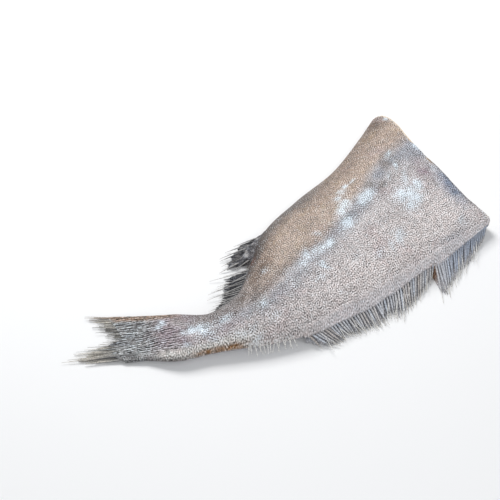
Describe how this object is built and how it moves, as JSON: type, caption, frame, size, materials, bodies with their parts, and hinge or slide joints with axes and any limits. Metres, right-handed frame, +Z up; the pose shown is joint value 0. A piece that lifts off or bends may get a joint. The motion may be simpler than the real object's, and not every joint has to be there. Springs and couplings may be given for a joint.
{
  "type": "greenland halibut",
  "caption": "Headed and gutted flatfish carcass lying flat on its side, tail bent aside, with frayed back, belly and tail fins.",
  "frame": {"origin": "centre of the bounding box's plan, on the table that the fish lies on", "axes": "+X from the tail towards the head cut, -Y towards the back (dorsal) edge, +Y towards the belly edge, +Z up"},
  "size_m": [0.4336, 0.2206, 0.0397],
  "materials": {
    "skin": "raw grey-beige fish skin with fine scales, moist, with a blue-grey band and patches of frost",
    "fin": "thin blue-grey fin skin over pale rays, frayed at the tips",
    "flesh": "moist raw cream-white flesh at the knife's cut",
    "gut_lining": "glossy near-black lining of the gutted hollow"
  },
  "bodies": {
    "root": {"halibut": "skin"}
  },
  "joints": []
}
